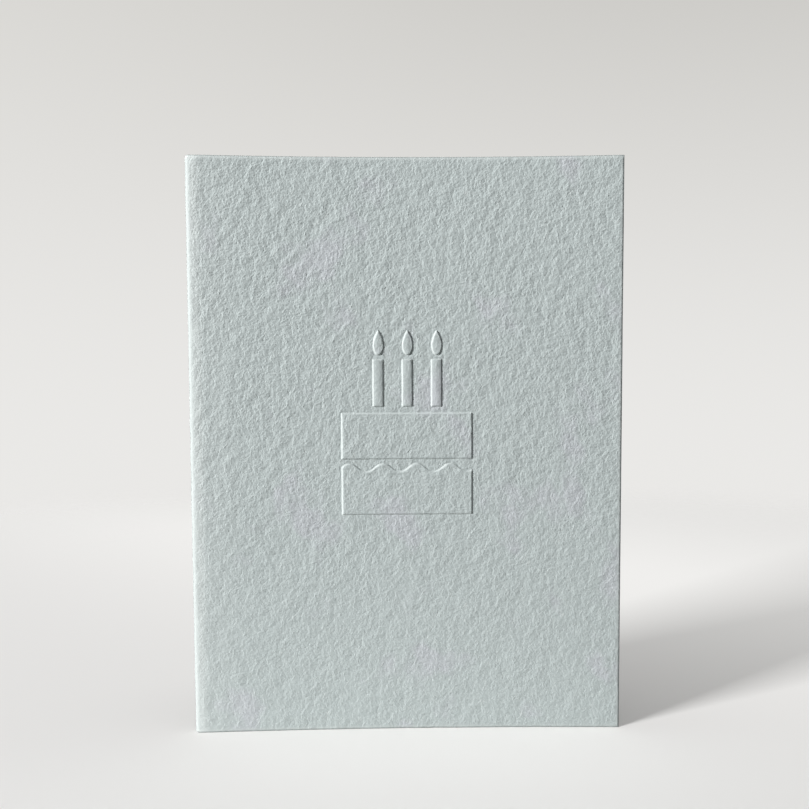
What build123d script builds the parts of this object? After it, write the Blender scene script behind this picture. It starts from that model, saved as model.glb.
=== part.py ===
from build123d import *
import os
from math import cos, degrees, radians, sin, tan

# Folded greeting card in thick cotton paper, standing open in a V.
# Lengths are in millimetres and angles in degrees. The fold is at -X, the front
# panel faces -Y, and the card stands on z = 0 with the origin under the middle of its box.

# Sheet and fold
card_width = 114.3  # from the fold to the free edge, along the paper
card_height = 152.4
paper_thickness = 0.8
opening_angle = 26.0  # between the two panels
panel_bow = 1.3  # how far the middle of a panel lies behind the line of its sides
fold_inner_radius = 0.5
shoulder_length = 2.7  # strip beside the fold where the paper starts to turn
shoulder_angle = 6.0
rim_radius = 0.3  # softened edge left by the cutting press

# Blind embossing on the front panel, raised towards -Y
emboss_height = 0.4
emboss_slope = 45.0  # lean of the pressed walls
emboss_radius = 0.25  # softened top edge of the pressed walls
emboss_root = 0.2  # how far a raised block reaches into the paper
cake_offset = 0.2  # from the middle of the panel towards the free edge

# Cake: a plain upper tier over a lower tier with a wave of icing along its top
tier_width = 34.8
lower_tier_bottom = 58.55
lower_tier_height = 12.25  # to the mean line of the icing
icing_waves = 3.89  # from one side of the tier to the other
icing_lead = 0.235  # from the tier's left side to the first peak, in waves
icing_depth = 2.1  # from a peak to a valley
icing_flank = 38.0  # slope of the line between a peak and a valley
tier_gap = 1.35  # from the peaks to the upper tier
upper_tier_height = 12.35

# Candles and flames
candle_count = 3
candle_pitch = 7.76
candle_width = 3.15
candle_height = 12.6
candle_gap = 1.65  # above the upper tier
flame_width = 3.25
flame_height = 6.8  # from the tip to the point of the foot, before that is rounded
flame_belly = 2.7  # from the same point to the widest line
flame_foot_radius = 1.0
flame_gap = 0.85  # from the candle to the same point
crown_height = 0.22  # rise of the rounded front across a candle or a flame

# Sizes that follow from those above
half_opening = opening_angle / 2
fold_outer_radius = fold_inner_radius + paper_thickness
shoulder_radius = shoulder_length / radians(shoulder_angle)
bow_length = card_width - fold_outer_radius - shoulder_length
bow_radius = bow_length**2 / (8 * panel_bow)
bow_angle = degrees(bow_length / bow_radius)
cake_middle = card_width / 2 - fold_outer_radius + cake_offset
icing_pitch = tier_width / icing_waves
icing_first_peak = icing_lead * icing_pitch - tier_width / 2
icing_line_height = lower_tier_bottom + lower_tier_height
upper_tier_bottom = icing_line_height + icing_depth / 2 + tier_gap
candle_foot = upper_tier_bottom + upper_tier_height + candle_gap
flame_foot = candle_foot + candle_height + flame_gap


def heading(angle):
    """Direction in plan, turned from +X towards +Y."""
    return Vector(cos(radians(angle)), sin(radians(angle)), 0)


# Outer face of the front half in plan, from the middle of the fold to the free edge.
# The bend's centre is the origin here, and each arc leaves the last one in line with it.
fold_turn = 90 - half_opening + bow_angle / 2 - shoulder_angle
fold_start = heading(half_opening) * -fold_outer_radius
fold_line = JernArc(fold_start, heading(half_opening - 90), fold_outer_radius, fold_turn)
shoulder_line = JernArc(fold_line @ 1, fold_line % 1, shoulder_radius, shoulder_angle)
bow_line = JernArc(shoulder_line @ 1, shoulder_line % 1, bow_radius, -bow_angle)

# The front panel bows round an upright axis in front of it. The embossing is drawn on
# the flat plane that touches the panel's front face where the bow is deepest.
bow_axis = bow_line.arc_center
deepest_face = bow_axis.Y + bow_radius
relief_plane = Plane((cake_middle, deepest_face, 0), x_dir=(1, 0, 0), z_dir=(0, -1, 0))


def folded_sheet():
    """The scored and folded sheet, at one thickness, with all its cut edges softened."""
    bisector = Plane((0, 0, 0), x_dir=heading(half_opening), z_dir=heading(half_opening + 90))
    front_half = Curve() + [fold_line, shoulder_line, bow_line]
    outer_line = Wire((front_half + mirror(front_half, about=bisector)).edges())
    section = make_face(offset(outer_line, amount=paper_thickness, side=Side.LEFT).edges())
    sheet = extrude(section, amount=card_height)
    cut_edges = sheet.faces().filter_by(GeomType.PLANE).edges()
    return fillet(cut_edges, rim_radius)


def upright_cylinder(radius, x, y):
    """Cylinder as tall as the card, round an upright axis."""
    return Pos(x, y, 0) * Cylinder(radius, card_height, align=(Align.CENTER, Align.CENTER, Align.MIN))


def pressed(outline):
    """Raised shape rooted in the paper, with leaning walls and a front that follows the bow."""
    bow_across_cake = tier_width**2 / (8 * bow_radius)
    block = extrude(relief_plane * outline, amount=emboss_height + bow_across_cake, taper=emboss_slope)
    root = extrude(relief_plane * outline, amount=-emboss_root)
    return block + root - upright_cylinder(bow_radius - emboss_height, bow_axis.X, bow_axis.Y)


def crowned(raised, offset_x, width):
    """The raised shape with its front rounded from side to side."""
    crown_radius = width**2 / (8 * crown_height) + crown_height / 2
    axis_y = deepest_face - emboss_height + crown_radius
    return raised & upright_cylinder(crown_radius, cake_middle + offset_x, axis_y)


def softened(raised):
    """The raised shape with a rounded edge between its front and its walls."""
    front = raised.faces().filter_by(GeomType.CYLINDER).sort_by(SortBy.AREA)[-1]
    return fillet(front.outer_wire().edges(), emboss_radius)


def icing_line():
    """Evenly waved line, with round peaks and valleys, that overhangs both sides of the tier."""
    half_pitch = icing_pitch / 2
    flank_rise = half_pitch * tan(radians(icing_flank))
    round_radius = (flank_rise - icing_depth) / 2 / (1 / cos(radians(icing_flank)) - 1)
    corners = [(icing_first_peak - half_pitch, icing_line_height - flank_rise / 2)]
    side = 1
    while corners[-1][0] < tier_width / 2 + half_pitch:
        corners.append((corners[-1][0] + half_pitch, icing_line_height + side * flank_rise / 2))
        side = -side
    return FilletPolyline(*corners, radius=round_radius)


def tier_block(bottom, height):
    """Raised block of the full width of the cake."""
    outline = Rectangle(tier_width, height, align=(Align.CENTER, Align.MIN))
    return pressed(Pos(0, bottom) * outline)


def lower_tier():
    """Tier cut off along the icing line, with the same leaning wall there as on its sides."""
    icing = icing_line()
    below = [Vector((icing @ end).X, 0) for end in (1, 0)]
    under_icing = make_face([*icing.edges(), *Polyline(icing @ 1, *below, icing @ 0).edges()])
    block = tier_block(lower_tier_bottom, card_height - lower_tier_bottom)
    return softened(block & pressed(under_icing))


def upper_tier():
    """Plain tier that stands clear of the icing."""
    return softened(tier_block(upper_tier_bottom, upper_tier_height))


def candle(offset_x):
    """Plain upright candle."""
    outline = Rectangle(candle_width, candle_height, align=(Align.CENTER, Align.MIN))
    raised = pressed(Pos(offset_x, candle_foot) * outline)
    return softened(crowned(raised, offset_x, candle_width))


def flame(offset_x):
    """Teardrop flame with a pointed tip and a rounded foot."""
    belly = Vector(flame_width / 2, flame_belly)
    right_side = [
        TangentArc(belly, (0, flame_height), tangent=(0, 1)),
        TangentArc(belly, (0, 0), tangent=(0, -1)),
    ]
    left_side = [mirror(arc, about=Plane.YZ).edge() for arc in right_side]
    pointed = make_face(right_side + left_side)
    outline = fillet(pointed.vertices().sort_by(Axis.Y)[0], flame_foot_radius)
    raised = pressed(Pos(offset_x, flame_foot) * outline)
    return softened(crowned(raised, offset_x, flame_width))


def relief():
    """Every raised shape of the embossing, laid on the panel's front face."""
    shapes = [lower_tier(), upper_tier()]
    for number in range(candle_count):
        offset_x = (number - (candle_count - 1) / 2) * candle_pitch
        shapes += [candle(offset_x), flame(offset_x)]
    return shapes


def embossed(sheet):
    """The sheet pressed forwards at each shape: raised in front, and as deeply hollow behind."""
    shapes = relief()
    hollows = [Pos(0, paper_thickness, 0) * shape for shape in shapes]
    return sheet + shapes - hollows


def on_its_base(card):
    """The card moved so that the origin lies under the middle of its box."""
    middle = card.bounding_box().center()
    return Pos(-middle.X, -middle.Y, 0) * card


folded_card = on_its_base(embossed(folded_sheet()))
os.makedirs("parts", exist_ok=True)
export_step(folded_card, "parts/folded_card.step")
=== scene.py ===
# %% [markdown]
# This notebook gives a packed greeting card its looks. The real object is one sheet of thick
# cotton paper, folded once and standing open in a V, with a cake and candles pressed into the
# front panel from behind. The CAD model is loaded first as a fixed frame, because every piece
# that Blender makes has to sit where the CAD says. Its box is noted before anything is added.
# The frame is in metres, with +Z up along the fold and the front panel facing -Y.

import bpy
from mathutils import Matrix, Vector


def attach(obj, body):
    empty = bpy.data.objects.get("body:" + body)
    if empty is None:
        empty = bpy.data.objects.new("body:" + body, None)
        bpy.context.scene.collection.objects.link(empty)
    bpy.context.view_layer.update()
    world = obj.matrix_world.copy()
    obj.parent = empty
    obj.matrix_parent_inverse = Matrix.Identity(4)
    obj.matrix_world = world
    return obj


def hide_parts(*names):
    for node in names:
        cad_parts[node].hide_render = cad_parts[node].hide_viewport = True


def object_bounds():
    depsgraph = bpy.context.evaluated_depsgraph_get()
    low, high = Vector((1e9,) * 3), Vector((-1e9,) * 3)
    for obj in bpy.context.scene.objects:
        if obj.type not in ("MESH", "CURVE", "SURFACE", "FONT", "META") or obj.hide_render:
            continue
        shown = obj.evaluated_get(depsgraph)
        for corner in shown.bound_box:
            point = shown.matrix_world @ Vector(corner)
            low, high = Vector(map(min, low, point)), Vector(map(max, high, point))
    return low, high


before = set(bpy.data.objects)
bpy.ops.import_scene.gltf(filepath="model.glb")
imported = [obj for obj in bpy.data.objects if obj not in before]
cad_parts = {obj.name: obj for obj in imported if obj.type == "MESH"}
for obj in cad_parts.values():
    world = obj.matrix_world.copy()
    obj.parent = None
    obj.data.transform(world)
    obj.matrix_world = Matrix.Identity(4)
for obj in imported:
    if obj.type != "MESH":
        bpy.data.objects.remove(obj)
cad_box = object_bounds()
print("CAD box:", [[round(number, 4) for number in corner] for corner in cad_box])

# %% [markdown]
# The photograph is taken from a little above the middle of the card, almost straight on.
# A camera can be aimed with a constraint or turned by hand. Here it is turned by angles that
# were worked out from the card's four corners, because a constraint would hide them. The lens
# points a little below the middle of the picture, which a small upward shift gives.

# %% Camera
import math

import bmesh
import bpy
from mathutils import Matrix, Vector, noise

MM = 0.001  # one millimetre in metres

picture_side = 809  # pixels
focal_length = 880.8  # pixels
optical_row = 440.4  # row of pixels that the lens points at, counted from the top
film_width = 36  # mm
camera_place = Vector((-5.4, -257.9, 92.7)) * MM
camera_yaw, camera_pitch, camera_roll = (math.radians(angle) for angle in (-1.19, 3.56, -0.29))

lens = bpy.data.cameras.new("camera")
lens.sensor_width = film_width
lens.lens = film_width * focal_length / picture_side
lens.shift_y = (optical_row - picture_side / 2) / picture_side
camera = bpy.data.objects.new("camera", lens)
camera.matrix_world = (
    Matrix.Translation(camera_place)
    @ Matrix.Rotation(camera_yaw, 4, "Z")
    @ Matrix.Rotation(math.pi / 2 - camera_pitch, 4, "X")
    @ Matrix.Rotation(camera_roll, 4, "Z")
)
bpy.context.scene.collection.objects.link(camera)
bpy.context.scene.camera = camera
print("lens:", round(lens.lens, 2), "mm, shift", round(lens.shift_y, 4))

# %% [markdown]
# The card's sizes come next, in millimetres and degrees. They are the same driving dimensions
# that the CAD model has, and the height is read from the frame. Keeping one set of named sizes
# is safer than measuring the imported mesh, whose triangles know nothing of folds or candles.

# %% Sizes of the card
card_width = 114.3  # from the fold to the free edge, along the paper
card_height = (cad_box[1].z - cad_box[0].z) / MM
paper_thickness = 0.8
opening_angle = 26.0  # between the two panels
panel_bow = 1.3  # how far the middle of a panel lies behind the line of its sides
fold_inner_radius = 0.5
shoulder_length = 2.7  # strip beside the fold where the paper starts to turn
shoulder_angle = 6.0

half_opening = math.radians(opening_angle / 2)
fold_outer_radius = fold_inner_radius + paper_thickness
bow_length = card_width - fold_outer_radius - shoulder_length
bow_radius = bow_length**2 / (8 * panel_bow)
bow_turn = bow_length / bow_radius
shoulder_turn = math.radians(shoulder_angle)
fold_turn = math.pi / 2 - half_opening + bow_turn / 2 - shoulder_turn
fold_length = fold_outer_radius * fold_turn
panel_reach = fold_length + shoulder_length + bow_length  # from the middle of the fold
print("each panel reaches", round(panel_reach, 2), "mm from the middle of the fold")

# %% [markdown]
# The card is easiest to shape while it is flat. Every point of it then has a place along the
# sheet, a height and a depth into the paper, and one function at the end folds it. Seen from
# above, half of the sheet is three arcs, each in line with the last: the tight fold, the
# shoulder where the paper starts to turn, and the shallow bow of the panel. The other half
# mirrors it about the line that halves the opening.

# %% Plan of the folded sheet
half_plan = [
    (fold_length, fold_turn),
    (shoulder_length, shoulder_turn),
    (bow_length, -bow_turn),
]


def along(angle):
    """Direction in plan, turned from +X towards +Y."""
    return Vector((math.cos(angle), math.sin(angle)))


def front_plan(distance):
    """Place and inward direction on the front half's outer face, that far from the fold."""
    place, angle = along(half_opening) * -fold_outer_radius, half_opening - math.pi / 2
    for length, turn in half_plan:
        step = min(distance, length)
        part = turn * step / length
        place += along(angle + part / 2) * (step * math.sin(part / 2) / (part / 2) if part else 0)
        angle += part
        distance -= step
    return place, along(angle + math.pi / 2)


def mirrored(flat):
    """A vector in plan, mirrored about the line that halves the opening."""
    axis = along(half_opening)
    return 2 * flat.dot(axis) * axis - flat


def folded(place):
    """A point of the flat sheet (along, up, into the paper) in mm, at its place on the card."""
    at, inward = front_plan(abs(place.x))
    if place.x < 0:
        at, inward = mirrored(at), mirrored(inward)
    at = at + inward * place.z
    return Vector((at.x, at.y, place.y))


plan_steps = 1000  # in which the plan's lowest point is looked for
lowest_y = min(
    front_plan(panel_reach * step / plan_steps)[0].y for step in range(plan_steps + 1)
)
fold_to_frame = Vector((cad_box[0].x / MM + fold_outer_radius, cad_box[0].y / MM - lowest_y, 0))
print("middle of the bend in the frame:", [round(number, 3) for number in fold_to_frame], "mm")

# %% [markdown]
# The artwork is blind embossed: two tiers of a cake, three candles and three flames stand
# under half a millimetre proud, with no ink. Outlines could be cut into the mesh one by one, but
# pressed paper has no sharp cuts. So each outline is a formula for the distance to it, negative
# inside, and the height of the paper follows from that distance. Lengths are in millimetres,
# across from the middle of the cake and up from the foot of the card.

# %% Sizes of the embossing
tier_rise = 0.4  # from the furrow round a tier to its front
candle_rise = 0.52  # the same for candles and flames, where their crown is highest
corner_radius = 0.3  # of the outlines
cake_offset = 0.02  # from the middle of the panel towards the free edge
tier_width = 34.86
lower_tier_bottom = 58.32
lower_tier_height = 12.79  # to the mean line of the icing
icing_waves = 3.89
icing_lead = 0.235  # from the tier's left side to the first peak, in waves
icing_depth = 2.1  # from a peak to a valley
icing_flank = math.radians(38)  # slope of the line between a peak and a valley
tier_gap = 0.98  # from the peaks to the upper tier
upper_tier_height = 12.44
candle_pitch = 7.72
candle_shift = 0.13  # to the right of the middle of the cake
candle_width = 2.88
candle_height = 12.69
candle_gap = 1.48  # above the upper tier
flame_shift = 0.26
flame_width = 2.9
flame_height = 7.23  # to the tip, from the point of the foot before that is rounded
flame_belly = 3.02  # from the same point to the widest line
flame_foot_radius = 1.0
flame_gap = 0.46  # from the candle to the same point
crown_height = 0.23  # from the middle of a candle's or a flame's front to its sides
tier_smoothness, candle_smoothness, flame_smoothness = 0.0, 0.5, 0.3  # 1 has no tooth left

bow_middle = panel_reach - bow_length / 2
relief_middle = card_width / 2 - fold_outer_radius + cake_offset  # across from the bend's centre
cake_middle = bow_middle + relief_middle - front_plan(bow_middle)[0].x
icing_pitch = tier_width / icing_waves
icing_first_peak = icing_lead * icing_pitch - tier_width / 2
icing_line_height = lower_tier_bottom + lower_tier_height
upper_tier_bottom = icing_line_height + icing_depth / 2 + tier_gap
candle_foot = upper_tier_bottom + upper_tier_height + candle_gap
flame_foot = candle_foot + candle_height + flame_gap
candle_middles = [-candle_pitch, 0, candle_pitch]
print("flame tips stand", round(flame_foot + flame_height, 2), "mm up the card")

# %% [markdown]
# The outlines themselves. A tier or a candle is a box with slightly rounded corners. The wave
# of icing is a row of arcs joined by straight flanks, and a flame is two arcs a side with a
# sharp tip and a rounded foot. Working with distances has one more use: it tells later which
# parts of the sheet need a finer mesh.

# %% Outlines of the embossing
def bar(across, up, width, height, corner=corner_radius):
    """Distance to an upright bar that stands at 0, with rounded corners."""
    beside = abs(across) - width / 2 + corner
    above = abs(up - height / 2) - height / 2 + corner
    return math.hypot(max(beside, 0), max(above, 0)) + min(max(beside, above), 0) - corner


def icing(across, up):
    """Distance to the area under the waved line of the icing."""
    quarter = icing_pitch / 4
    rise = quarter * math.tan(icing_flank) - icing_depth / 2
    radius = rise / (1 / math.cos(icing_flank) - 1)
    turned = (across - icing_first_peak) % icing_pitch
    aside, over, side = min(turned, icing_pitch - turned), up - icing_line_height, 1
    if aside > quarter:  # a valley is a peak upside down
        aside, over, side = 2 * quarter - aside, -over, -1
    from_centre = over + radius - icing_depth / 2
    if math.atan2(aside, from_centre) < icing_flank:
        return side * (math.hypot(aside, from_centre) - radius)
    return side * (over * math.cos(icing_flank) + (aside - quarter) * math.sin(icing_flank))


def flame(across, up):
    """Distance to a teardrop flame that stands at 0."""
    aside, over, half_width = abs(across), up - flame_belly, flame_width / 2
    length = flame_height - flame_belly if over > 0 else flame_belly
    radius = (half_width**2 + length**2) / flame_width
    inset = radius - half_width
    drop = math.sqrt((radius - flame_foot_radius) ** 2 - inset**2) if over < 0 else 0
    if drop and inset * over + drop * (aside + inset) < 0:
        return math.hypot(aside, over + drop) - flame_foot_radius
    return math.hypot(aside + inset, over) - radius


def outlines(across, up):
    """Distance to each shape, its rise, how far its crown has dropped, and its smoothness."""
    under_icing = max(
        bar(across, up - lower_tier_bottom, tier_width, lower_tier_height + icing_depth),
        icing(across, up),
    )
    yield under_icing, tier_rise, 0, tier_smoothness
    upper_tier = bar(across, up - upper_tier_bottom, tier_width, upper_tier_height)
    yield upper_tier, tier_rise, 0, tier_smoothness
    for middle in candle_middles:
        aside = across - middle - candle_shift
        drop = crown_height * (2 * aside / candle_width) ** 2
        candle = bar(aside, up - candle_foot, candle_width, candle_height)
        yield candle, candle_rise, drop, candle_smoothness
        aside = across - middle - flame_shift
        drop = crown_height * (2 * aside / flame_width) ** 2
        yield flame(aside, up - flame_foot), candle_rise, drop, flame_smoothness


print("shapes in the artwork:", len(list(outlines(0, 0))))

# %% [markdown]
# The height of the paper follows from those distances. A pressed wall is steepest at its foot
# and eases into its top, so a power curve draws it. A bevel could round such a wall too, but
# only with one radius, and here the walls that face the fold run out a little longer. The paper
# round a shape is drawn down. The same distances say where the die has smoothed the paper, and
# how much painted highlight the walls that face the fold and the key lamp get.

# %% Height of the paper
wall_run = 0.44  # from the foot of a pressed wall to its top
wall_skew = 0.25  # how much longer that is on walls that face the fold
wall_curve = 1.5  # 1 makes straight walls, and more makes them steeper at the foot
furrow_depth, furrow_width = 0.05, 0.6  # of the paper that is drawn down round a shape
wall_smoothness, wall_reach = 0.7, 0.6  # on the walls, and how far that reaches beside them
highlight_fade = 1.6  # more keeps the painted highlight further up the wall
side_step = 0.05  # over which the way a wall faces is measured


def smooth(share):
    """0 below 0 and 1 above 1, with a soft start and end."""
    share = min(max(share, 0), 1)
    return share * share * (3 - 2 * share)


def relief(across, up):
    """Height of the embossing at a place, how smooth it is there, and its painted wall highlight.
    """
    nearest, lift, smoothness, wall_highlight = tier_width, 0, 0, 0
    a_step_aside = outlines(across + side_step, up)
    for shape, moved_shape in zip(outlines(across, up), a_step_aside):
        distance, full_rise, drop, pressed_smooth = shape
        facing_fold = (distance - moved_shape[0]) / side_step
        facing_fold = min(max(facing_fold, -1), 1)  # -1 on the far walls
        share = min(max(-distance / (wall_run * (1 + wall_skew * facing_fold)), 0), 1)
        rise = min(full_rise * (1 - (1 - share) ** wall_curve), full_rise - drop)
        nearest = min(nearest, distance)
        if rise > lift:
            lift, smoothness = rise, pressed_smooth * share
            # painted highlight on the walls that face the fold and the key lamp, none on the far
            # walls
            wall_highlight = smooth(highlight_fade * (1 - share)) * (1 + facing_fold) / 2
    furrow = furrow_depth * (1 - smooth(nearest / furrow_width))
    at_wall = 1 - smooth(abs(nearest + wall_run / 2) / wall_reach)
    return lift - furrow, max(smoothness, wall_smoothness * at_wall), wall_highlight


middle_of_tier = relief(0, lower_tier_bottom + lower_tier_height / 2)
print("relief in the middle of the lower tier:", round(middle_of_tier[0], 3), "mm")

# %% [markdown]
# The flat sheet is two grids, one for each face, joined round their cut edges. The grids stop
# short of the edges, and a few closer rings are extruded outwards from there, because a cut
# edge of thick paper is rounded over by the cutting press and needs them. Solidify and a bevel
# would give the edge one radius only, and pressed paper falls away more slowly than that.

# %% Flat sheet
grid_cell = 1.6
edge_width = 0.7  # strip along a cut edge that the press rounds over
edge_fall = 0.3  # how far it falls at the cut, on each face
outer_margins, rim_rings = [1.9, 1.3], 5
margins = outer_margins + [
    edge_width * (1 - math.sin(math.pi / 2 * ring / rim_rings)) for ring in range(rim_rings + 1)
]


def panel_size(margin):
    """Width and height of the flat sheet without a margin round it."""
    return Vector((2 * (panel_reach - margin), card_height - 2 * margin))


def flat_face(sheet, depth):
    """One face of the flat sheet, centred on the origin, and the edges at its rim."""
    size = panel_size(margins[0])
    columns, rows = (2 * round(length / grid_cell / 2) for length in size)
    verts = bmesh.ops.create_grid(sheet, x_segments=columns, y_segments=rows, size=0.5)["verts"]
    bmesh.ops.scale(sheet, vec=(size.x, size.y, 1), verts=verts)
    bmesh.ops.translate(sheet, vec=(0, 0, depth), verts=verts)
    rim = [edge for edge in sheet.edges if edge.is_boundary and edge.verts[0] in set(verts)]
    for margin in margins[1:]:
        grown = panel_size(margin)
        ring = bmesh.ops.extrude_edge_only(sheet, edges=rim)["geom"]
        verts = [part for part in ring if isinstance(part, bmesh.types.BMVert)]
        rim = [part for part in ring if isinstance(part, bmesh.types.BMEdge) and part.is_boundary]
        bmesh.ops.scale(sheet, vec=(grown.x / size.x, grown.y / size.y, 1), verts=verts)
        size = grown
    return rim


sheet = bmesh.new()
outer_rim = flat_face(sheet, 0)
inner_rim = flat_face(sheet, paper_thickness)
bmesh.ops.bridge_loops(sheet, edges=outer_rim + inner_rim)
bmesh.ops.translate(sheet, vec=(0, card_height / 2, 0), verts=sheet.verts)
print("flat sheet:", len(sheet.faces), "faces")

# %% [markdown]
# Detail costs triangles, so the mesh is made finer only where the shape needs it. The bend
# gets extra columns, the front face one cut, and the surroundings of the embossed walls three
# more. Cutting only the edges that are longer than a limit keeps the faces nearly square.

# %% Finer mesh where it is needed
bend_reach, bend_cuts = 4.6, 3
front_longest = 1  # longer edges of the front face are cut
outline_bands = [(0.6, 1.2), (0.3, 0.7), (0.16, 0.42)]  # longest edge, and how near to a wall
band_line = wall_run / 3  # how far inside the outlines the middle of these bands runs


def cut(edges, cuts=1):
    """Divides edges, and the faces between them."""
    bmesh.ops.subdivide_edges(sheet, edges=edges, cuts=cuts, use_grid_fill=True)


def middle_of(edge):
    return (edge.verts[0].co + edge.verts[1].co) / 2


def is_long(edge, limit):
    return edge.calc_length() > limit


cut(
    [
        edge
        for edge in sheet.edges
        if abs(middle_of(edge).x) < bend_reach
        and abs(edge.verts[0].co.x - edge.verts[1].co.x) > grid_cell / 2
    ],
    bend_cuts,
)
cut(
    [
        edge
        for edge in sheet.edges
        if is_long(edge, front_longest)
        and middle_of(edge).x > 0
        and middle_of(edge).z < paper_thickness / 2
    ]
)
for longest, band in outline_bands:
    near = []
    for edge in sheet.edges:
        middle = middle_of(edge)
        across = middle.x - cake_middle
        if is_long(edge, longest) and abs(across) < tier_width and middle.x > bend_reach:
            away = min(abs(shape[0] + band_line) for shape in outlines(across, middle.y))
            if away < band:
                near.append(edge)
    cut(near)
print("sheet with finer places:", len(sheet.faces), "faces")

# %% [markdown]
# Now the sheet gets its shape while it is still flat: the cut edges fall away, the embossing
# is pressed through both faces, and felt-made paper is never quite even, so a noise moves both
# faces together. The panels also bow more deeply towards the top. Each point keeps its place on
# the flat sheet as an attribute, so that the material can follow the paper round the fold. Then
# the sheet is folded.

# %% Pressed and folded sheet
corner_wear = 0.4
top_hollow = 1.1  # how much deeper the panels bow at the top
swells = [(0.08, 17, 3), (0.1, 4.5, 8)]  # height and width in mm, and the seed of the noise


def fallen(distance):
    """How far a face has fallen at a distance from the cut edge."""
    share = min(max(1 - distance / edge_width, 0), 1)
    return edge_fall * share * share


def unevenness(across, up):
    """How far both faces lie further back than on an even sheet."""
    half = 2 * abs(across) / panel_reach - 1  # -1 at the fold and 1 at the free edge
    hollow = top_hollow * (up / card_height) ** 2 * (1 - half * half)
    return hollow + sum(
        height * noise.noise((across / width, up / width, seed)) for height, width, seed in swells
    )


place_layer = sheet.verts.layers.float_vector.new("sheet_place")
smooth_layer = sheet.verts.layers.float.new("pressed_smooth")
# painted highlight on the walls that face the fold, kept for the material
wall_highlight_layer = sheet.verts.layers.float.new("painted_wall_highlight")
for vert in sheet.verts:
    across, up, depth = vert.co
    vert[place_layer] = vert.co
    from_cut = -bar(across, up, 2 * panel_reach, card_height, corner_wear)
    fall = fallen(from_cut)
    depth += fall if depth < paper_thickness / 2 else -fall
    depth += unevenness(across, up)
    if abs(across - cake_middle) < tier_width:
        lift, vert[smooth_layer], vert[wall_highlight_layer] = relief(across - cake_middle, up)
        depth -= lift
    vert.co = (folded(Vector((across, up, depth))) + fold_to_frame) * MM
bmesh.ops.recalc_face_normals(sheet, faces=sheet.faces)
for face in sheet.faces:
    face.smooth = True

card_mesh = bpy.data.meshes.new("felt_card")
sheet.to_mesh(card_mesh)
sheet.free()
card = bpy.data.objects.new("felt_card", card_mesh)
bpy.context.scene.collection.objects.link(card)
card_mesh.calc_loop_triangles()
print("card:", len(card_mesh.loop_triangles), "triangles")

# %% [markdown]
# Materials are node trees. Long trees are hard to read as lists of nodes, so one small class
# wraps a node's output: sums of wrapped outputs and numbers add their own Math nodes, and one
# method adds any other node, with its settings first and its sockets after.

# %% A wrapper for shader nodes
class Wire:
    """An output socket that works in sums as a number does."""

    def __init__(self, tree, socket=None):
        self.tree, self.socket = tree, socket

    def add(self, kind, settings=None, inputs=None, output=0):
        """The wire that comes out of a new node."""
        node = self.tree.nodes.new(kind)
        for name, value in (settings or {}).items():
            setattr(node, name, value)
        for name, value in (inputs or {}).items():
            if isinstance(value, Wire):
                self.tree.links.new(value.socket, node.inputs[name])
            else:
                node.inputs[name].default_value = value
        return Wire(self.tree, node.outputs[output]) if node.outputs else None

    def math(self, operation, *values):
        return self.add("ShaderNodeMath", {"operation": operation}, dict(enumerate(values)))

    def __add__(self, other):
        return self.math("ADD", self, other)

    def __sub__(self, other):
        return self.math("SUBTRACT", self, other)

    def __rsub__(self, other):
        return self.math("SUBTRACT", other, self)

    def __mul__(self, other):
        return self.math("MULTIPLY", self, other)

    __radd__, __rmul__ = __add__, __mul__

    def ramp(self, low, high):
        """0 below low and 1 above high, smooth in between."""
        settings = {"interpolation_type": "SMOOTHSTEP"}
        return self.add(
            "ShaderNodeMapRange", settings, {"Value": self, "From Min": low, "From Max": high}
        )

    def fade(self, low, high):
        """1 below low and 0 above high, smooth in between."""
        return 1 - self.ramp(low, high)

    def span(self, at_0, at_1):
        """Goes evenly from one number to another while the wire goes from 0 to 1."""
        return at_0 + (at_1 - at_0) * self

    def mix(self, colour_at_0, colour_at_1):
        """Goes from one colour to another while the wire goes from 0 to 1."""
        inputs = {0: self, 6: colour_at_0, 7: colour_at_1}  # the sockets for colours
        return self.add("ShaderNodeMix", {"data_type": "RGBA"}, inputs, output=2)

    def part(self, axis):
        """One part, X, Y or Z, of a place or a direction."""
        return self.add("ShaderNodeSeparateXYZ", None, {"Vector": self}, output=axis)


def new_tree(owner):
    """The empty node tree of a material or a world."""
    owner.use_nodes = True
    owner.node_tree.nodes.clear()
    return Wire(owner.node_tree)


print("wrapper ready:", Wire.__name__)

# %% [markdown]
# Felt-marked cotton paper is matt and has a soft tooth: humps two millimetres across, the marks
# of the felt, about a millimetre across, and single grains. A height map could be painted, but
# a procedural noise is seamless and follows the sheet round the fold. The tooth is worked out
# in millimetres, for a Bump node, and a few long fibres lie on it. Each place is first moved
# aside by the height of the tooth there, which makes the marks lean. The tooth is calmer
# towards the foot of the card, beside the fold, along the cut edges and on the pressed walls,
# candles and flames.

# %% Tooth of the paper
hump_height, mark_height, grain_height, fibre_height = 0.328, 0.3444, 0.1066, 0.02  # mm
noise_middle = 0.5
lean = 1.707  # of the front's marks towards the fold, as a multiple of their height
patch_strength = (0.88, 1.04)  # of the tooth, from calm to rough patches
foot_reach, foot_strength = (5, 110), (0.68, 0.98)  # mm up the card, and the tooth's strength
crease_reach, crease_strength = (0.3, 3), (0.2, 1)  # mm from the middle of the fold
fold_reach, fold_strength = (3, 30), (0.88, 1)
cut_reach, cut_strength = (0.3, 1.4), (0.4, 1)  # mm from the cut edge


def noise_at(place, width, length, slant=0, detail=2, seed=0):
    """Noise drawn out along a slant, with its width and length in mm."""
    settings = {"vector_type": "TEXTURE"}
    inputs = {
        "Vector": place,
        "Location": (seed, seed, seed),
        "Rotation": (0, 0, math.radians(slant)),
        "Scale": (width, length, width),
    }
    turned = place.add("ShaderNodeMapping", settings, inputs)
    return place.add("ShaderNodeTexNoise", None, {"Vector": turned, "Scale": 1, "Detail": detail})


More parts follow.
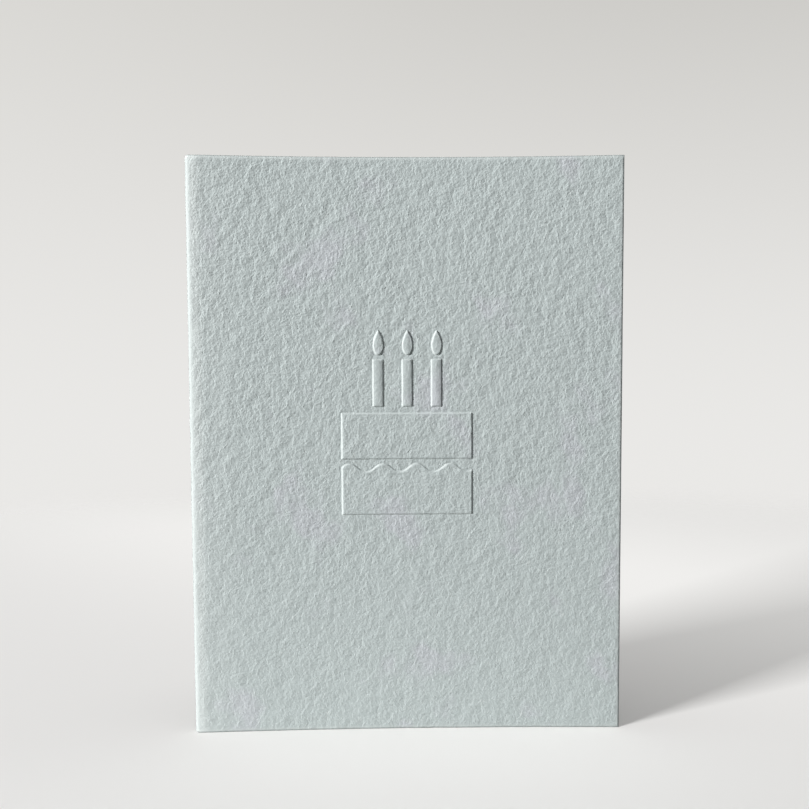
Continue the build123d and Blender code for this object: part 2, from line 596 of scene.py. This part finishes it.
def soft_tooth(place):
    """Height in mm of the soft humps and of the marks left by the felt."""
    humps = noise_at(place, width=2.3, length=2.6, detail=0)
    marks = noise_at(place, width=0.92, length=1.05, detail=1, seed=20)
    return hump_height * (humps - noise_middle) + mark_height * (marks - noise_middle)


paper = bpy.data.materials.new("felt_paper")
tree = new_tree(paper)
place = tree.add("ShaderNodeAttribute", {"attribute_name": "sheet_place"}, output="Vector")
smoothed = tree.add("ShaderNodeAttribute", {"attribute_name": "pressed_smooth"}, output="Fac")
up = place.part("Y")
from_fold = tree.math("ABSOLUTE", place.part("X"))
from_top_or_foot = tree.math("MINIMUM", up, card_height - up)
from_cut = tree.math("MINIMUM", panel_reach - from_fold, from_top_or_foot)

aside = tree.add("ShaderNodeCombineXYZ", None, {"X": lean * soft_tooth(place)})
leaning = tree.add("ShaderNodeVectorMath", {"operation": "ADD"}, {0: place, 1: aside})
grains = noise_at(leaning, width=0.44, length=0.48, detail=0, seed=40)
patches = noise_at(place, width=9, length=14, slant=-30, seed=80).ramp(low=0.35, high=0.65)
strength = (
    (1 - smoothed)
    * patches.span(*patch_strength)
    * up.ramp(*foot_reach).span(*foot_strength)
    * from_fold.ramp(*crease_reach).span(*crease_strength)
    * from_fold.ramp(*fold_reach).span(*fold_strength)
    * from_cut.ramp(*cut_reach).span(*cut_strength)
)
tooth = (soft_tooth(leaning) + grain_height * (grains - noise_middle)) * strength
fibres = noise_at(place, width=0.35, length=3.2, slant=-35, detail=0, seed=120)
fibres = fibres.ramp(low=0.72, high=0.8)
height = tooth + fibre_height * fibres
print("tooth nodes:", len(paper.node_tree.nodes))

# %% [markdown]
# The colour varies a little too. The paper is faintly lilac in places, and paler along fibres,
# flecks and the pressed rim. A painted highlight lies on the pressed walls that face the fold and
# on the paper beside the fold, where the key lamp falls. The cut edge itself is darker, partly its
# own colour and partly painted shade, and painted shade darkens the middle of the fold. A picture
# of the colours would do, but it would fit one size of card only. Here each finish is a mask from
# 0 to 1, worked out from noise or from the distance to the fold, to the cut edge or to a pressed
# wall, and it mixes one colour into the next.

# %% Colour of the paper
paper_colour = (0.456, 0.507, 0.503, 1)
lilac_colour = (0.479, 0.507, 0.526, 1)
# pale colour of fibres, flecks and the pressed rim, also used for the painted highlights
pale_and_highlight_colour = (0.62, 0.66, 0.65, 1)
# the cut edge is darker: partly the paper's own colour, partly painted shade
cut_edge_and_shade_colour = (0.28, 0.31, 0.305, 1)
shade, roughness = (0.97, 1.03), (0.8, 0.95)  # where the mottle is 0 and where it is 1
gloss = 0.3
fibre_pale, fleck_pale, wall_highlight_strength, rim_pale = 0.4, 0.45, 0.8, 0.35
rim_start, rim_end = (0.2, 0.45), (0.6, 1.1)  # mm from the cut edge
bend_highlight, bend_highlight_fade = 0.4, (2.5, 5)  # painted highlight beside the fold: how pale, and where that fades, in mm from the fold
panel_highlight, panel_highlight_fade = 0.22, (1, 18)
# painted shade in the middle of the fold
crease_shade_strength, crease_shade_fade = 0.4, (0.2, 0.8)
cut_edge_and_shade_fade = (0, 0.32)  # mm from the cut edge

# painted highlight on the pressed walls that face the fold and the key lamp
wall_highlight_mask = tree.add("ShaderNodeAttribute", {"attribute_name": "painted_wall_highlight"}, output="Fac")
mottle = noise_at(place, width=7, length=9, seed=160)
lilac = noise_at(place, width=13, length=17, slant=20, detail=3, seed=200)
flecks = noise_at(place, width=0.3, length=0.55, slant=-50, detail=0, seed=240)
flecks = flecks.ramp(low=0.62, high=0.78)
rim = from_cut.ramp(*rim_start) * from_cut.fade(*rim_end)
# painted highlight on the paper beside the fold, which faces the key lamp
fold_highlight = bend_highlight * from_fold.fade(*bend_highlight_fade) + panel_highlight * from_fold.fade(*panel_highlight_fade)
# paler fibres, flecks and rim, and the painted highlights on walls and beside the fold
pale = tree.math(
    "MAXIMUM",
    fibre_pale * fibres + fleck_pale * flecks,
    wall_highlight_strength * wall_highlight_mask + fold_highlight + rim_pale * rim,
)
# painted shade along the middle of the fold
crease_shade = crease_shade_strength * from_fold.fade(*crease_shade_fade)
# darker cut edge, partly its own colour and partly painted shade, and painted shade in the crease
edge_and_crease_shade = tree.math("MAXIMUM", from_cut.fade(*cut_edge_and_shade_fade), crease_shade)
colour = lilac.ramp(low=0.56, high=0.7).mix(paper_colour, lilac_colour)
colour = edge_and_crease_shade.mix(pale.mix(colour, pale_and_highlight_colour), cut_edge_and_shade_colour)
colour = tree.add(
    "ShaderNodeVectorMath", {"operation": "SCALE"}, {0: colour, "Scale": mottle.span(*shade)}
)
surface = tree.add(
    "ShaderNodeBsdfPrincipled",
    None,
    {
        "Base Color": colour,
        "Roughness": mottle.span(*roughness),
        "Normal": tree.add("ShaderNodeBump", None, {"Height": height, "Distance": MM}),
        "Specular IOR Level": gloss,
    },
)
tree.add("ShaderNodeOutputMaterial", None, {"Surface": surface})
card_mesh.materials.append(paper)
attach(card, "root")
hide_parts("folded_card")
print("paper nodes:", len(paper.node_tree.nodes))

# %% [markdown]
# The stage is a pale floor that runs on into a pale studio with no visible join. A swept
# backdrop would do, but it would stand in the way of cameras behind the card. Here the floor
# fades out with distance instead. A glow of the floor grows towards the back and the right, for
# the camera and for reflections only. All other rays meet a plainer floor, so that the card is
# lit at a plain level. The floor still takes the card's shadow.

# %% Floor
floor_colour = (0.78, 0.772, 0.76, 1)
floor_glow_front = (0.003, 0.002, 0.001, 1)
floor_glow_back = (0.385, 0.381, 0.371, 1)
floor_bounce_near = (0.6, 0.6, 0.585, 1)
floor_bounce_far = (0.15, 0.15, 0.148, 1)
floor_half = 4.0  # metres
glow_reach = (-0.2, 0.3)  # metres behind the card's middle
sideways = 0.8  # how much the glow also follows the distance to the right
fade_reach = (0.28, 0.6)  # metres from the card
bounce_reach = (0.04, 0.22)


def seen_directly(tree):
    """1 for rays that show the stage itself, and 0 for rays that gather light."""
    seen = tree.add("ShaderNodeLightPath", output="Is Camera Ray")
    for ray in ("Is Glossy Ray", "Is Transmission Ray"):
        seen = tree.math("MAXIMUM", seen, tree.add("ShaderNodeLightPath", output=ray))
    return seen


def mixed(tree, factor, first, second):
    """Shader between two others."""
    return tree.add("ShaderNodeMixShader", None, {0: factor, 1: first, 2: second})


floor_paint = bpy.data.materials.new("pale_floor")
tree = new_tree(floor_paint)
where = tree.add("ShaderNodeTexCoord", output="Object")
distance = tree.add("ShaderNodeVectorMath", {"operation": "LENGTH"}, {0: where}, output="Value")
backwards = where.part("Y") + sideways * where.part("X")
glow_colour = backwards.ramp(*glow_reach).mix(floor_glow_front, floor_glow_back)
glow = tree.add("ShaderNodeEmission", None, {"Color": glow_colour})
matt = tree.add("ShaderNodeBsdfDiffuse", None, {"Color": floor_colour})
shown = tree.add("ShaderNodeAddShader", None, {0: matt, 1: glow})
clear = tree.add("ShaderNodeBsdfTransparent")
faded = mixed(tree, distance.ramp(*fade_reach), shown, clear)
bounce = distance.ramp(*bounce_reach).mix(floor_bounce_near, floor_bounce_far)
hidden = tree.add("ShaderNodeBsdfDiffuse", None, {"Color": bounce})
surface = mixed(tree, seen_directly(tree), hidden, faded)
tree.add("ShaderNodeOutputMaterial", None, {"Surface": surface})

floor_shape = bmesh.new()
bmesh.ops.create_grid(floor_shape, x_segments=1, y_segments=1, size=floor_half)
floor_mesh = bpy.data.meshes.new("floor")
floor_shape.to_mesh(floor_mesh)
floor_shape.free()
floor_mesh.materials.append(floor_paint)
floor = bpy.data.objects.new("floor", floor_mesh)
bpy.context.scene.collection.objects.link(floor)
print("floor spans", 2 * floor_half, "m")

# %% [markdown]
# What shows behind the faded floor is the world's own colour, pale low down and darker high up,
# more so on the right. A picture of a real studio could stand there, but it would light the
# card from all its sides. Here the rays that gather light see one plain dim colour instead, and
# the shape of the light is left to the lamps.

# %% Studio
studio_low = (0.82, 0.812, 0.795, 1)
studio_high_left = (0.6, 0.588, 0.555, 1)
studio_high_right = (0.43, 0.42, 0.39, 1)
studio_climb, studio_turn = (-0.1, 0.8), (-0.5, 0.5)  # of the view's own Z and X
fill_colour = (0.98, 0.99, 1.0, 1)
fill_strength = 0.14

world = bpy.data.worlds.new("studio")
bpy.context.scene.world = world
tree = new_tree(world)
direction = tree.add("ShaderNodeTexCoord", output="Generated")
studio_high = direction.part("X").ramp(*studio_turn).mix(studio_high_left, studio_high_right)
studio = direction.part("Z").ramp(*studio_climb).mix(studio_low, studio_high)
shown = tree.add("ShaderNodeBackground", None, {"Color": studio})
hidden = tree.add("ShaderNodeBackground", None, {"Color": fill_colour, "Strength": fill_strength})
surface = mixed(tree, seen_directly(tree), hidden, shown)
tree.add("ShaderNodeOutputWorld", None, {"Surface": surface})
print("studio nodes:", len(world.node_tree.nodes))

# %% [markdown]
# The photograph has soft light from the left, low enough to rake across the tooth and the
# embossing, and a shadow with a wide soft edge. Two area lamps give that: a key lamp to the
# left in front, and a dim one overhead that lifts the shadow. A sun would be simpler, but its
# shadow edge is equally soft everywhere, and this one widens away from the card.

# %% Lamps
key_place = Vector((-0.94, -0.646, 0.447))
key_size, key_power = (0.27, 0.29), 20.7
overhead_place = Vector((0.05, -0.1, 1.6))
overhead_size, overhead_power = (0.6, 0.6), 4.5
card_centre = Vector((0, 0, card_height / 2)) * MM


def hang_lamp(name, place, size, power):
    """White area lamp aimed at the middle of the card."""
    light = bpy.data.lights.new(name, "AREA")
    light.shape, (light.size, light.size_y) = "RECTANGLE", size
    light.energy = power
    lamp = bpy.data.objects.new(name, light)
    lamp.location = place
    lamp.rotation_euler = (card_centre - place).to_track_quat("-Z", "Y").to_euler()
    lamp.visible_camera = False
    bpy.context.scene.collection.objects.link(lamp)


hang_lamp("key_lamp", key_place, key_size, key_power)
hang_lamp("overhead_lamp", overhead_place, overhead_size, overhead_power)
bpy.context.scene.view_settings.view_transform = "Standard"
print("key lamp", round((key_place - card_centre).length, 2), "m from the card")
